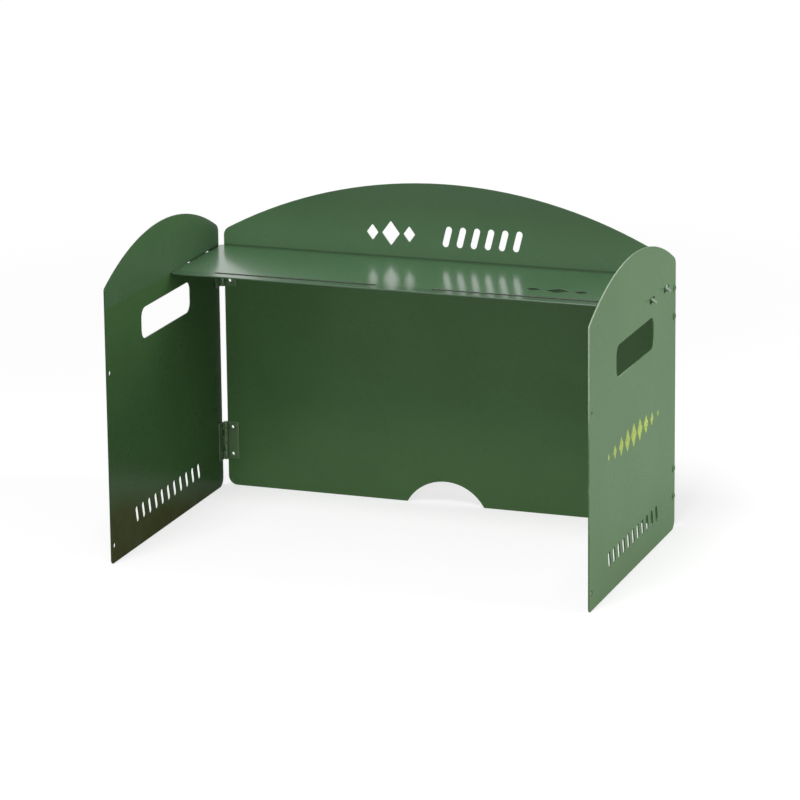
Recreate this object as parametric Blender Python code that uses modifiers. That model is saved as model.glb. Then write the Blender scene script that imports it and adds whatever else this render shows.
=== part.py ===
# Folding camping windscreen: three painted sheet panels on pinned leaf hinges, with a shelf between them.
# Metres, +Z up. The screen stands on its lower edges, the cooking bay opens towards -Y.

from math import atan2, ceil, cos, pi, radians, sin

import bmesh
import bpy
from mathutils import Matrix, Vector

# Sheet and clearances
SHEET = 0.0015
GAP = 0.0003

# Back panel
BACK_WIDTH = 0.500
SHOULDER_HEIGHT = 0.2845
BACK_ARC_RISE = 0.0655
BACK_CORNER_RADIUS = 0.010
NOTCH_RADIUS = 0.050
NOTCH_HEIGHT = 0.025

# Side panels, both cut from one outline; lengths run forwards from the rear edge
SIDE_DEPTH = 0.300
SIDE_SHOULDER_RAISE = 0.0045
SIDE_ARC_RISE = 0.039
SIDE_REAR_RADIUS = 0.010
SIDE_FRONT_RADIUS = 0.004
HAND_HOLE_LENGTH = 0.130
HAND_HOLE_HEIGHT = 0.033
HAND_HOLE_RADIUS = 0.010
HAND_HOLE_REAR_MARGIN = 0.080
HAND_HOLE_BELOW_SHELF = 0.019
PEG_HOLE_RADIUS = 0.0027
PEG_HOLE_MARGIN = 0.008
PEG_HOLE_LOW = 0.018
PEG_HOLE_HIGH = 0.200

# Shelf
SHELF_DROP = 0.0165
SHELF_DEPTH = 0.1386
SHELF_CORNER_RADIUS = 0.003
RAIL_WIDTH = 0.012
RAIL_SLOT_WIDTH = 0.005
RAIL_SLOT_LENGTH = 0.180
RAIL_BRIDGE = 0.060
TAB_WIDTH = 0.007
TAB_REACH = 0.0055
TAB_DROP = 0.0036
TAB_RADIUS = 0.001
REAR_TAB_MARGIN = 0.038
TAB_PITCH = 0.051
TAB_ROOM_FRONT = 0.0025
TAB_ROOM_REAR = 0.0085

# Hinges
HINGE_HEIGHT = 0.042
LEAF_SHEET = 0.0009
LEAF_WIDTH = 0.0145
LEAF_CORNER_RADIUS = 0.002
ROLL_SWEEP = radians(300)
PIN_RADIUS = 0.0014
PIN_OVERHANG = 0.0004
KNUCKLES = 5
HINGE_OUTSET = 0.001
SIDE_SETBACK = 0.0026
LOWER_HINGE_CENTRE = 0.0505
UPPER_HINGE_BELOW_SHELF = 0.0015

# Tubular rivets, two in each leaf
RIVET_BORE_RADIUS = 0.0018
RIVET_WALL = 0.0006
RIVET_FLANGE_RADIUS = 0.004
RIVET_FLANGE = 0.0005
RIVET_PITCH = 0.030
RIVET_OFFSET = 0.0072

# Cut-out vents: slanted slots and diamonds
VENT_SLANT = radians(14)
BACK_SLOT_COUNT = 6
BACK_SLOT_PITCH = 0.0156
BACK_SLOT_WIDTH = 0.007
BACK_SLOT_HEIGHT = 0.023
BACK_SLOTS_X = 0.043
BACK_DIAMONDS_X = -0.059
BACK_VENT_RISE = 0.009
DIAMOND_WIDTH = 0.020
DIAMOND_HEIGHT = 0.027
DIAMOND_SPACE = 0.004
SMALL_DIAMOND_SHARE = 0.66
DIAMOND_RADIUS = 0.0012
SIDE_SLOT_COUNT = 11
SIDE_SLOT_PITCH = 0.0165
SIDE_SLOT_WIDTH = 0.0068
SIDE_SLOT_HEIGHT = 0.018
SIDE_VENT_CENTRE = 0.0345
SHELF_DIAMONDS_X = 0.155
SHELF_DIAMONDS_SETBACK = 0.030
SHELF_DIAMOND_LENGTH = 0.026
SHELF_DIAMOND_DEPTH = 0.018

# Fineness of arcs
ARC_STEP = radians(15)
BACK_ARC_STEPS = 36
SIDE_ARC_STEPS = 24
ROUND_STEPS = 20
RIVET_STEPS = 14

# Sizes that follow from those above
BACK_HALF = BACK_WIDTH / 2
SIDE_SHOULDER = SHOULDER_HEIGHT + SIDE_SHOULDER_RAISE
KNUCKLE_BORE = PIN_RADIUS + GAP
KNUCKLE_RADIUS = KNUCKLE_BORE + LEAF_SHEET
AXIS_OFFSET = KNUCKLE_RADIUS + GAP
AXIS_X = BACK_HALF + HINGE_OUTSET
SIDE_INNER_X = AXIS_X + AXIS_OFFSET
FRONT_REACH = AXIS_OFFSET + SIDE_SETBACK + SIDE_DEPTH
REAR_REACH = SHEET + GAP + RIVET_FLANGE
BACK_Y = (FRONT_REACH - REAR_REACH) / 2
AXIS_Y = BACK_Y - AXIS_OFFSET
SIDE_REAR_Y = AXIS_Y - SIDE_SETBACK
SHELF_TOP = SHOULDER_HEIGHT - SHELF_DROP
SHELF_BOTTOM = SHELF_TOP - SHEET
SHELF_FRONT_Y = BACK_Y - GAP - SHELF_DEPTH
TAB_CENTRES = [REAR_TAB_MARGIN + i * TAB_PITCH for i in range(2)]
TAB_FOLD_X = SIDE_INNER_X + SHEET + GAP
TAB_TIP_X = SIDE_INNER_X + SHEET + TAB_REACH
TAB_SLOT_HEIGHT = SHEET + TAB_DROP + 2 * GAP
UPPER_HINGE_CENTRE = SHELF_BOTTOM - UPPER_HINGE_BELOW_SHELF - HINGE_HEIGHT / 2
HINGES = {"lower": LOWER_HINGE_CENTRE, "upper": UPPER_HINGE_CENTRE}
RIVET_HOLE_RADIUS = RIVET_BORE_RADIUS + RIVET_WALL + GAP
KNUCKLE_PITCH = HINGE_HEIGHT / KNUCKLES

# Colours, linear
GREEN = (0.062, 0.118, 0.052, 1.0)
GREEN_WORN = (0.070, 0.125, 0.060, 1.0)
STEEL = (0.42, 0.42, 0.40, 1.0)

for old in list(bpy.data.objects):
    bpy.data.objects.remove(old, do_unlink=True)

parts = bpy.data.collections.new("folding_camping_windscreen")
cutters = bpy.data.collections.new("cutters")
for group in (parts, cutters):
    bpy.context.scene.collection.children.link(group)


def material(name, colour, roughness, metallic):
    """A Principled material of one piece."""
    made = bpy.data.materials.new(name)
    made.use_nodes = True
    shader = made.node_tree.nodes["Principled BSDF"]
    shader.inputs["Base Color"].default_value = colour
    shader.inputs["Roughness"].default_value = roughness
    shader.inputs["Metallic"].default_value = metallic
    made.diffuse_color = colour
    return made


def arc(centre, radius, start, end, steps):
    """Points on an arc, both ends included."""
    return [
        (centre[0] + radius * cos(start + (end - start) * i / steps),
         centre[1] + radius * sin(start + (end - start) * i / steps))
        for i in range(steps + 1)
    ]


def rounded(corners):
    """Closed outline through (x, y, radius) corners, each rounded by its radius."""
    points = []
    count = len(corners)
    for i, (x, y, radius) in enumerate(corners):
        if radius == 0:
            points.append((x, y))
            continue
        here = Vector((x, y))
        to_last = (Vector(corners[i - 1][:2]) - here).normalized()
        to_next = (Vector(corners[(i + 1) % count][:2]) - here).normalized()
        half = to_last.angle(to_next) / 2
        centre = here + (to_last + to_next).normalized() * (radius / sin(half))
        first = here + to_last * (centre - here).dot(to_last)
        last = here + to_next * (centre - here).dot(to_next)
        start = atan2(first.y - centre.y, first.x - centre.x)
        sweep = (atan2(last.y - centre.y, last.x - centre.x) - start + pi) % (2 * pi) - pi
        points += arc(centre, radius, start, start + sweep, max(2, ceil(abs(sweep) / ARC_STEP)))
    return points


def circle(x, y, radius, steps):
    return arc((x, y), radius, 0, 2 * pi, steps)[:-1]


def box_outline(x0, x1, y0, y1, radius):
    return rounded([(x0, y0, radius), (x1, y0, radius), (x1, y1, radius), (x0, y1, radius)])


def slanted_slot(x, y, width, height):
    """Upright slot with round ends, leaning by VENT_SLANT."""
    reach = (height - width) / 2
    ends = arc((0, reach), width / 2, 0, pi, 6) + arc((0, -reach), width / 2, pi, 2 * pi, 6)
    return [(x + px * cos(VENT_SLANT) + py * sin(VENT_SLANT),
             y + py * cos(VENT_SLANT) - px * sin(VENT_SLANT)) for px, py in ends]


def slot_row(x, y, count, pitch, width, height):
    first = x - pitch * (count - 1) / 2
    return [slanted_slot(first + i * pitch, y, width, height) for i in range(count)]


def diamond_trio(x, y, width, height):
    """A large diamond between two small ones."""
    side_width = width * SMALL_DIAMOND_SHARE
    step = (width + side_width) / 2 + DIAMOND_SPACE
    trio = []
    for shift, share in ((-step, SMALL_DIAMOND_SHARE), (0, 1), (step, SMALL_DIAMOND_SHARE)):
        w, h = width * share / 2, height * share / 2
        r = DIAMOND_RADIUS
        trio.append(rounded([(x + shift + w, y, r), (x + shift, y + h, r),
                             (x + shift - w, y, r), (x + shift, y - h, r)]))
    return trio


def crown(half_width, shoulder, rise, steps):
    """Points of the bowed top edge between the two shoulders, from +x to -x, ends left out."""
    radius = (half_width ** 2 + rise ** 2) / (2 * rise)
    middle = shoulder + rise - radius
    start = atan2(shoulder - middle, half_width)
    return arc((0, middle), radius, start, pi - start, steps)[1:-1]


def sheet_mesh(name, outline, holes, thickness=SHEET):
    """Sheet with its middle plane at z = 0, as a closed mesh."""
    curve = bpy.data.curves.new(name, "CURVE")
    curve.dimensions = "2D"
    curve.fill_mode = "BOTH"
    curve.extrude = thickness / 2
    for loop in [outline] + holes:
        spline = curve.splines.new("POLY")
        spline.points.add(len(loop) - 1)
        for point, (x, y) in zip(spline.points, loop):
            point.co = (x, y, 0, 1)
        spline.use_cyclic_u = True
    flat = bpy.data.objects.new(name, curve)
    cutters.objects.link(flat)
    depsgraph = bpy.context.evaluated_depsgraph_get()
    mesh = bpy.data.meshes.new_from_object(flat.evaluated_get(depsgraph))
    bpy.data.objects.remove(flat)
    bpy.data.curves.remove(curve)
    weld(mesh)
    mesh.name = name
    return mesh


def weld(mesh):
    shell = bmesh.new()
    shell.from_mesh(mesh)
    bmesh.ops.remove_doubles(shell, verts=shell.verts, dist=1e-6)
    bmesh.ops.recalc_face_normals(shell, faces=shell.faces)
    shell.to_mesh(mesh)
    shell.free()


def piece(name, mesh, matrix, parent, colour=GREEN, roughness=0.38, metallic=0.0):
    """One named part, placed under its parent."""
    made = bpy.data.objects.new(name, mesh)
    parts.objects.link(made)
    made.parent = parent
    made.matrix_local = matrix
    if not mesh.materials:
        mesh.materials.append(None)
    slot = made.material_slots[0]
    slot.link = "OBJECT"
    slot.material = material(name + "_paint", colour, roughness, metallic)
    return made


def empty(name, location, parent=None):
    made = bpy.data.objects.new(name, None)
    parts.objects.link(made)
    made.parent = parent
    made.location = location
    made.empty_display_size = 0.02
    return made


def frame(x_axis, y_axis, z_axis, location):
    """Placement whose local axes point along the given directions."""
    turn = Matrix((x_axis, y_axis, z_axis)).transposed().to_4x4()
    return Matrix.Translation(location) @ turn


def turned(name, profile, steps):
    """A closed profile in the XZ plane, turned about Z."""
    mesh = bpy.data.meshes.new(name)
    wire = bmesh.new()
    ring = [wire.verts.new((r, 0, z)) for r, z in profile]
    for i, vert in enumerate(ring):
        wire.edges.new((ring[i - 1], vert))
    wire.to_mesh(mesh)
    wire.free()
    lathe = bpy.data.objects.new(name, mesh)
    cutters.objects.link(lathe)
    screw = lathe.modifiers.new("turn", "SCREW")
    screw.steps = steps
    screw.render_steps = steps
    screw.use_merge_vertices = True
    screw.merge_threshold = 0.00001
    depsgraph = bpy.context.evaluated_depsgraph_get()
    made = bpy.data.meshes.new_from_object(lathe.evaluated_get(depsgraph))
    bpy.data.objects.remove(lathe)
    bpy.data.meshes.remove(mesh)
    weld(made)
    made.name = name
    return made


def back_panel_mesh():
    chord = (NOTCH_RADIUS ** 2 - (NOTCH_RADIUS - NOTCH_HEIGHT) ** 2) ** 0.5
    notch_start = atan2(NOTCH_RADIUS - NOTCH_HEIGHT, -chord)
    notch = arc((0, NOTCH_HEIGHT - NOTCH_RADIUS), NOTCH_RADIUS, notch_start, pi - notch_start, 24)
    r = BACK_CORNER_RADIUS
    corners = [(x, y, 0) for x, y in notch]
    corners += [(BACK_HALF, 0, r), (BACK_HALF, SHOULDER_HEIGHT, r)]
    corners += [(x, y, 0) for x, y in crown(BACK_HALF, SHOULDER_HEIGHT, BACK_ARC_RISE, BACK_ARC_STEPS)]
    corners += [(-BACK_HALF, SHOULDER_HEIGHT, r), (-BACK_HALF, 0, r)]
    vent_z = SHOULDER_HEIGHT + BACK_VENT_RISE
    holes = slot_row(BACK_SLOTS_X, vent_z, BACK_SLOT_COUNT, BACK_SLOT_PITCH,
                     BACK_SLOT_WIDTH, BACK_SLOT_HEIGHT)
    holes += diamond_trio(BACK_DIAMONDS_X, vent_z, DIAMOND_WIDTH, DIAMOND_HEIGHT)
    for centre in HINGES.values():
        for side in (-1, 1):
            for rivet in (-1, 1):
                holes.append(circle(side * (AXIS_X - RIVET_OFFSET), centre + rivet * RIVET_PITCH / 2,
                                    RIVET_HOLE_RADIUS, RIVET_STEPS))
    return sheet_mesh("back_panel", rounded(corners), holes)


def side_panel_mesh():
    """Outline in the panel's own plane: x forwards from the rear edge, y up."""
    half = SIDE_DEPTH / 2
    front, rear = SIDE_FRONT_RADIUS, SIDE_REAR_RADIUS
    corners = [(0, 0, rear), (SIDE_DEPTH, 0, front), (SIDE_DEPTH, SIDE_SHOULDER, front)]
    corners += [(half + x, y, 0) for x, y in crown(half, SIDE_SHOULDER, SIDE_ARC_RISE, SIDE_ARC_STEPS)]
    corners += [(0, SIDE_SHOULDER, rear)]
    hand_top = SHELF_BOTTOM - HAND_HOLE_BELOW_SHELF
    holes = [box_outline(HAND_HOLE_REAR_MARGIN, HAND_HOLE_REAR_MARGIN + HAND_HOLE_LENGTH,
                         hand_top - HAND_HOLE_HEIGHT, hand_top, HAND_HOLE_RADIUS)]
    for height in (PEG_HOLE_LOW, PEG_HOLE_HIGH):
        holes.append(circle(SIDE_DEPTH - PEG_HOLE_MARGIN, height, PEG_HOLE_RADIUS, 16))
    slot_top = SHELF_TOP + GAP
    for centre in TAB_CENTRES:
        holes.append(box_outline(centre - TAB_WIDTH / 2 - TAB_ROOM_REAR, centre + TAB_WIDTH / 2 + TAB_ROOM_FRONT,
                                 slot_top - TAB_SLOT_HEIGHT, slot_top, TAB_SLOT_HEIGHT / 4))
    rivet_x = RIVET_OFFSET - SIDE_SETBACK
    for centre in HINGES.values():
        for rivet in (-1, 1):
            holes.append(circle(rivet_x, centre + rivet * RIVET_PITCH / 2, RIVET_HOLE_RADIUS, RIVET_STEPS))
    holes += slot_row(half, SIDE_VENT_CENTRE, SIDE_SLOT_COUNT, SIDE_SLOT_PITCH,
                      SIDE_SLOT_WIDTH, SIDE_SLOT_HEIGHT)
    return sheet_mesh("side_panel", rounded(corners), holes)


def shelf_mesh():
    """Seen from above, with its rear edge along y = 0 and two tabs at each end, folded down outside the panels."""
    end, tip = SIDE_INNER_X - GAP, TAB_TIP_X
    right = [(end, -SHELF_DEPTH, SHELF_CORNER_RADIUS)]
    shelf_rear = BACK_Y - GAP
    for centre in reversed(TAB_CENTRES):
        middle = SIDE_REAR_Y - centre - shelf_rear
        right += [(end, middle - TAB_WIDTH / 2, 0), (tip, middle - TAB_WIDTH / 2, TAB_RADIUS),
                  (tip, middle + TAB_WIDTH / 2, TAB_RADIUS), (end, middle + TAB_WIDTH / 2, 0)]
    right += [(end, 0, SHELF_CORNER_RADIUS)]
    corners = right + [(-x, y, r) for x, y, r in reversed(right)]
    slot_front = RAIL_WIDTH - SHELF_DEPTH
    slot_rear = slot_front + RAIL_SLOT_WIDTH
    holes = []
    for side in (-1, 1):
        near, far = sorted((side * RAIL_BRIDGE / 2, side * (RAIL_BRIDGE / 2 + RAIL_SLOT_LENGTH)))
        holes.append(box_outline(near, far, slot_front, slot_rear, RAIL_SLOT_WIDTH * 0.45))
    holes += diamond_trio(SHELF_DIAMONDS_X, slot_rear + SHELF_DIAMONDS_SETBACK,
                          SHELF_DIAMOND_LENGTH, SHELF_DIAMOND_DEPTH)
    mesh = sheet_mesh("shelf", rounded(corners), holes)

    shell = bmesh.new()
    shell.from_mesh(mesh)
    for side in (-1, 1):
        bmesh.ops.bisect_plane(shell, geom=shell.verts[:] + shell.edges[:] + shell.faces[:], dist=1e-6,
                               plane_co=(side * TAB_FOLD_X, 0, 0), plane_no=(1, 0, 0))
    for vert in shell.verts:
        beyond = max(0, abs(vert.co.x) - TAB_FOLD_X)
        vert.co.z -= TAB_DROP * beyond / (TAB_TIP_X - TAB_FOLD_X)
    shell.to_mesh(mesh)
    shell.free()
    return mesh


def leaf_mesh(name, kept):
    """Hinge leaf rolled round the pin axis at x = y = 0; the knuckles in kept stay on it."""
    roll_end = radians(90) + ROLL_SWEEP
    rolled = arc((0, 0), KNUCKLE_RADIUS, radians(90), roll_end, ROUND_STEPS)
    inner = arc((0, 0), KNUCKLE_BORE, roll_end, radians(90), ROUND_STEPS)
    profile = [(LEAF_WIDTH, KNUCKLE_RADIUS)] + rolled + inner + [(LEAF_WIDTH, KNUCKLE_BORE)]
    mesh = sheet_mesh(name, profile, [], HINGE_HEIGHT)

    shell = bmesh.new()
    shell.from_mesh(mesh)
    bmesh.ops.dissolve_limit(shell, angle_limit=radians(1), verts=shell.verts, edges=shell.edges)
    corners = [edge for edge in shell.edges
               if all(abs(v.co.x - LEAF_WIDTH) < 1e-6 for v in edge.verts)
               and abs(edge.verts[0].co.z - edge.verts[1].co.z) < 1e-6]
    bmesh.ops.bevel(shell, geom=corners, offset=LEAF_CORNER_RADIUS, segments=4, affect="EDGES", profile=0.5)
    shell.to_mesh(mesh)
    shell.free()

    tools = bmesh.new()
    reach = KNUCKLE_RADIUS + GAP
    for i in range(KNUCKLES):
        if i in kept:
            continue
        middle = (i + 0.5) * KNUCKLE_PITCH - HINGE_HEIGHT / 2
        end_room = KNUCKLE_PITCH if i in (0, KNUCKLES - 1) else 0
        shift = end_room / 2 if i else -end_room / 2
        size = (4 * KNUCKLE_RADIUS, 4 * KNUCKLE_RADIUS, KNUCKLE_PITCH + GAP + end_room)
        place = Matrix.Translation((reach - size[0] / 2, 0, middle + shift)) @ Matrix.Diagonal((*size, 1))
        bmesh.ops.create_cube(tools, size=1, matrix=place)
    for rivet in (-1, 1):
        place = Matrix.Translation((RIVET_OFFSET, AXIS_OFFSET, rivet * RIVET_PITCH / 2))
        bmesh.ops.create_cone(tools, cap_ends=True, segments=RIVET_STEPS, radius1=RIVET_HOLE_RADIUS,
                              radius2=RIVET_HOLE_RADIUS, depth=4 * AXIS_OFFSET,
                              matrix=place @ Matrix.Rotation(pi / 2, 4, "X"))
    tool_mesh = bpy.data.meshes.new("cut_" + name)
    tools.to_mesh(tool_mesh)
    tools.free()
    cutter = bpy.data.objects.new("cut_" + name, tool_mesh)
    cutters.objects.link(cutter)
    cutter.hide_render = True
    cutter.display_type = "WIRE"

    blank = bpy.data.objects.new(name, mesh)
    cutters.objects.link(blank)
    cut = blank.modifiers.new("windows_and_holes", "BOOLEAN")
    cut.operation = "DIFFERENCE"
    cut.solver = "EXACT"
    cut.object = cutter
    depsgraph = bpy.context.evaluated_depsgraph_get()
    made = bpy.data.meshes.new_from_object(blank.evaluated_get(depsgraph))
    bpy.data.objects.remove(blank)
    bpy.data.meshes.remove(mesh)
    weld(made)
    made.name = name
    return made


def rivet_mesh():
    """Tubular rivet; z runs from the leaf towards the outside of the panel, zero level with the hinge axis."""
    head = KNUCKLE_BORE - GAP
    tail = AXIS_OFFSET + SHEET + GAP
    bore, body, rim = RIVET_BORE_RADIUS, RIVET_BORE_RADIUS + RIVET_WALL, RIVET_FLANGE_RADIUS
    crown_rim = rim - RIVET_WALL
    profile = [(bore, head - RIVET_FLANGE), (crown_rim, head - RIVET_FLANGE), (rim, head), (body, head),
               (body, tail), (rim, tail), (crown_rim, tail + RIVET_FLANGE), (bore, tail + RIVET_FLANGE)]
    return turned("rivet", profile, RIVET_STEPS)


def pin_mesh():
    half = HINGE_HEIGHT / 2 + PIN_OVERHANG
    mesh = bpy.data.meshes.new("hinge_pin")
    rod = bmesh.new()
    bmesh.ops.create_cone(rod, cap_ends=True, segments=ROUND_STEPS, radius1=PIN_RADIUS,
                          radius2=PIN_RADIUS, depth=2 * half)
    rims = [edge for edge in rod.edges if abs(edge.verts[0].co.z - edge.verts[1].co.z) < 1e-6]
    bmesh.ops.bevel(rod, geom=rims, offset=PIN_OVERHANG, segments=1, affect="EDGES")
    rod.to_mesh(mesh)
    rod.free()
    return mesh


X, Y, Z = Vector((1, 0, 0)), Vector((0, 1, 0)), Vector((0, 0, 1))

stand = empty("windscreen", (0, 0, 0))
piece("back_panel", back_panel_mesh(), frame(X, Z, -Y, (0, BACK_Y + SHEET / 2, 0)), stand)
piece("shelf", shelf_mesh(), frame(X, Y, Z, (0, BACK_Y - GAP, SHELF_TOP - SHEET / 2)), stand)

side_mesh = side_panel_mesh()
back_knuckles = range(0, KNUCKLES, 2)
side_knuckles = range(1, KNUCKLES, 2)
back_leaf = leaf_mesh("back_leaf", back_knuckles)
side_leaf = leaf_mesh("side_leaf", side_knuckles)
rivet = rivet_mesh()
pin = pin_mesh()

for side, sign in (("left", -1), ("right", 1)):
    outwards = sign * X
    axis = empty(side + "_fold_axis", (sign * AXIS_X, AXIS_Y, 0), stand)
    middle = outwards * (AXIS_OFFSET + SHEET / 2) - Y * SIDE_SETBACK
    piece(side + "_panel", side_mesh, frame(-Y, Z, -X, middle), axis)
    for level, height in HINGES.items():
        name = side + "_" + level
        centre = Vector((sign * AXIS_X, AXIS_Y, height))
        up = sign * Z
        piece(name + "_back_leaf", back_leaf, frame(-outwards, Y, -up, centre), stand, GREEN_WORN)
        piece(name + "_side_leaf", side_leaf, frame(-Y, outwards, up, Z * height), axis, GREEN_WORN)
        piece(name + "_pin", pin, frame(X, Y, Z, centre), stand, STEEL, 0.35, 1.0)
        for end, step in (("low", -Z), ("high", Z)):
            hole = step * (RIVET_PITCH / 2)
            piece(name + "_back_rivet_" + end, rivet,
                  frame(Z, Y.cross(Z), Y, centre - outwards * RIVET_OFFSET + hole), stand, GREEN_WORN)
            piece(name + "_side_rivet_" + end, rivet,
                  frame(Z, outwards.cross(Z), outwards, Z * height - Y * RIVET_OFFSET + hole), axis, GREEN_WORN)
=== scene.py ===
from math import cos, pi, radians, sin

import bmesh
import bpy
from bpy.props import FloatProperty, FloatVectorProperty, IntProperty, PointerProperty
from mathutils import Matrix, Vector


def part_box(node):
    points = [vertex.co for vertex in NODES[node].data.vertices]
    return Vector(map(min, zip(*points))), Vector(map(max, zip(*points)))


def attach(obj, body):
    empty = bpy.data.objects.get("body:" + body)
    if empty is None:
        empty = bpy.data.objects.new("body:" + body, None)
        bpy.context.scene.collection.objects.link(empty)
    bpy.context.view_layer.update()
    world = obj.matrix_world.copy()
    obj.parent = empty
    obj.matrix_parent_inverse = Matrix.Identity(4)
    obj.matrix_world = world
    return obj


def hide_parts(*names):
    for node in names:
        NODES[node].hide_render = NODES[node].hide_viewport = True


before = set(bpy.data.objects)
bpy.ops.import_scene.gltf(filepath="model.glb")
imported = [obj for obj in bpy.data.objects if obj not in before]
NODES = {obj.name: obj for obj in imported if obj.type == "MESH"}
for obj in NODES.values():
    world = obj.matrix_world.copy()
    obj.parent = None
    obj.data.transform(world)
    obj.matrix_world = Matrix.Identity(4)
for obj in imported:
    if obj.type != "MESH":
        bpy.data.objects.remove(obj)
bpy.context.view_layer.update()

bl_info = {
    "name": "Camping Windscreen Finish",
    "version": (1, 0, 0),
    "blender": (4, 5, 0),
    "location": "View3D > Sidebar > Windscreen",
    "description": "Dresses the camping windscreen with powder coat, rolled hinges, rivets and a print",
    "category": "Add Mesh",
}

SCREEN, LEFT, RIGHT = "screen", "left_side", "right_side"
X, Y, Z = Vector((1, 0, 0)), Vector((0, 1, 0)), Vector((0, 0, 1))
MM = 0.001

# Front rail of the shelf, and the long slots behind it
RAIL, RAIL_SLOT = 12 * MM, 5 * MM
# Room left in a loose fit
CLEARANCE = 0.3 * MM
# X of the middle of the left sheet's thickness, which parts its inner face from its outer one
LEFT_MIDDLE = -0.2547
# Thickness of the printed ink, and its air to the sheet
INK_HEIGHT, INK_GAP = 0.06 * MM, 0.01 * MM
# Radius of the holes that the rivets fill in the leaves
RIVET_HOLE = 2.45 * MM

# Colours that no setting changes, linear
GREY = (0.1, 0.1, 0.1, 1.0)
WHITE = (1.0, 1.0, 1.0, 1.0)
# Brown of the painted floor reflection low on the inner faces
FLOOR_REFLECTION_BROWN = (0.066, 0.052, 0.006, 1.0)
# Colour of the painted shade in corners, slots and on the shelf's front edge, and of the rail's darkening
PAINTED_SHADE = (0.010, 0.016, 0.008, 1.0)
# Light bluish colour of the painted reflection above the shelf
PAINTED_SHEEN = (0.127, 0.170, 0.178, 1.0)
# Dark colour of the painted shade towards the top of the back sheet
PAINTED_TOP_SHADE = (0.027, 0.039, 0.041, 1.0)
THIN_INK = (0.10, 0.17, 0.05, 1.0)
DRAWN_STEEL = (0.46, 0.46, 0.44, 1.0)
DULL_STEEL = (0.24, 0.23, 0.21, 1.0)

# Camera: the picture's width, the lens's centre and its distance in pixels, and the sensor in millimetres
PICTURE = 800
LENS_CENTRE = (380.0, 270.0)
LENS_PIXELS = 4050.8
SENSOR = 36.0
# Its directions to the right, up and back
CAMERA_AXES = ((0.938852, 0.344128, -0.011533), (-0.069484, 0.222157, 0.972532),
               (0.337238, -0.912262, 0.232484))


# Settings that a user would change


def length(name, description, default, **limits):
    return FloatProperty(name=name, description=description, default=default, unit="LENGTH", **limits)


def share(name, description, default, **limits):
    return FloatProperty(name=name, description=description, default=default, min=0.0, **limits)


def whole(name, description, default, least):
    return IntProperty(name=name, description=description, default=default, min=least)


def colour(name, description, *default):
    return FloatVectorProperty(name=name, description=description, subtype="COLOR", size=4,
                               default=default + (1.0,), min=0.0, max=1.0)


class SheetSettings(bpy.types.PropertyGroup):
    edge_round: length("Edge round", "Radius that the coat leaves on the sheets' cut edges", 0.00032, min=0.0)
    edge_steps: whole("Edge steps", "Facets across each rounded edge", 2, 0)
    waviness: length("Waviness", "Height of the slow waves in the thin sheet", 0.0001, min=0.0)


class HingeSettings(bpy.types.PropertyGroup):
    roll: FloatProperty(
        name="Roll", description="How far the knuckles are rolled round the pin",
        default=radians(300), subtype="ANGLE")
    roll_steps: whole("Roll steps", "Facets round a knuckle", 36, 8)
    knuckles: whole("Knuckles", "Knuckles on one hinge, both leaves together", 5, 3)
    edge_round: length("Edge round", "Radius on the leaves' edges", 0.00014, min=0.0)
    corner_round: length("Corner round", "Radius at the leaves' free corners", 0.002, min=0.0)


class RivetSettings(bpy.types.PropertyGroup):
    steps: whole("Steps", "Facets round a rivet", 40, 8)
    seed: whole("Seed", "Seed of the rivets' chance turns", 7, 0)


class PrintSettings(bpy.types.PropertyGroup):
    count: whole("Diamonds", "Diamonds in the printed row", 9, 1)
    pitch: length("Pitch", "Step from diamond to diamond", 0.0215)
    height: length("Height", "Height of the largest diamond", 0.026)
    level: length("Level", "Height of the row above the ground", 0.141)
    colour: colour("Ink", "Colour of the print", 0.36, 0.46, 0.05)


class PaintSettings(bpy.types.PropertyGroup):
    sheet: colour("Coat", "Powder coat on the sheets", 0.058, 0.130, 0.0455)
    shelf: colour("Shelf coat", "Powder coat on the shelf", 0.052, 0.128, 0.056)
    # A coat of its own, made lighter than the sheets' so that leaves and rivets show brighter: partly painted
    # light
    hinge: colour("Hinge coat", "Coat on leaves and rivets", 0.086, 0.160, 0.068)
    edge_tone: colour("Rubbed coat", "Paler coat where edges are rubbed", 0.16, 0.24, 0.13)
    # Light edge colour: painted highlight on the right sheet's and the hinges' edges
    edge: colour("Pale edge", "Coat on edges that catch the light", 0.34, 0.42, 0.31)
    # Dark edge colour: painted shade on the left sheet's cut edges
    dull: colour("Dull edge", "Sooty coat on the left sheet's edges", 0.020, 0.042, 0.019)
    roughness: share("Roughness", "Roughness of the sheets' coat", 0.28, max=1.0)


class StageSettings(bpy.types.PropertyGroup):
    floor_size: length("Floor", "Width of the floor", 40.0)
    sky: share("Sky", "Strength of the light from all round", 0.3)
    front_lamp: share("Front lamp", "Light of the low lamp in front", 0.31)
    side_lamp: share("Side lamp", "Light of the lamp at the right", 0.80)
    top_lamp: share("Top lamp", "Light of the large lamp high in front", 0.74)
    floor_tone: share("Floor tone", "How much of its light the floor gives back", 0.4, max=1.0)
    floor_glow: share("Floor glow", "What the floor adds to itself in the picture", 0.62)
    camera_place: FloatVectorProperty(
        name="Camera", description="Place of the camera", size=3, subtype="TRANSLATION",
        default=(1.37666, -3.76627, 1.25094))


# Nodes of any kind of tree


def feed(tree, socket, value):
    """Wires a socket to another one, or sets it to a plain value."""
    if isinstance(value, bpy.types.NodeSocket):
        tree.links.new(value, socket)
    else:
        socket.default_value = value


def node(tree, kind, feeds=(), **settings):
    """A new node with its settings; feeds gives its inputs, by name or by number."""
    made = tree.nodes.new(kind)
    for key, value in settings.items():
        setattr(made, key, value)
    for key, value in dict(feeds).items():
        feed(tree, made.inputs[key], value)
    return made


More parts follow.
